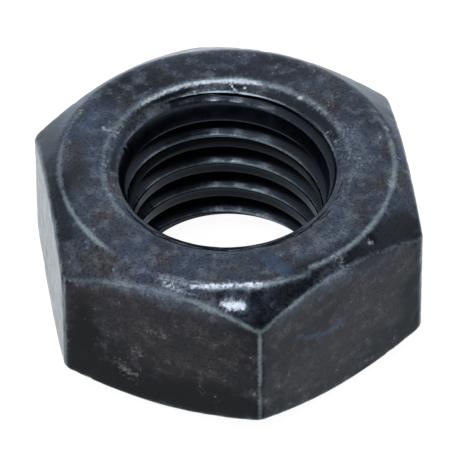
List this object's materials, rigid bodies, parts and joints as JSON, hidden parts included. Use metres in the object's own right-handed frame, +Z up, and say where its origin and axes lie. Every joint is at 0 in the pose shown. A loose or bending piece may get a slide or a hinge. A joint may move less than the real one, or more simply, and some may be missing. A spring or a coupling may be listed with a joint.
{
  "type": "hex nut",
  "caption": "Hexagonal steel nut with a right-hand metric coarse thread, chamfered at both ends, with a blackened finish.",
  "frame": {"origin": "centre of the lower bearing face, on the bore's axis", "axes": "+Z up the bore's axis; +X out of one wrench flat, so that two corners lie on Y"},
  "size_m": [0.013, 0.0148, 0.0064],
  "materials": {
    "blackened_steel": "black oxide, oiled, worn on its edges"
  },
  "bodies": {
    "root": {"hex_nut": "blackened_steel"}
  },
  "joints": []
}
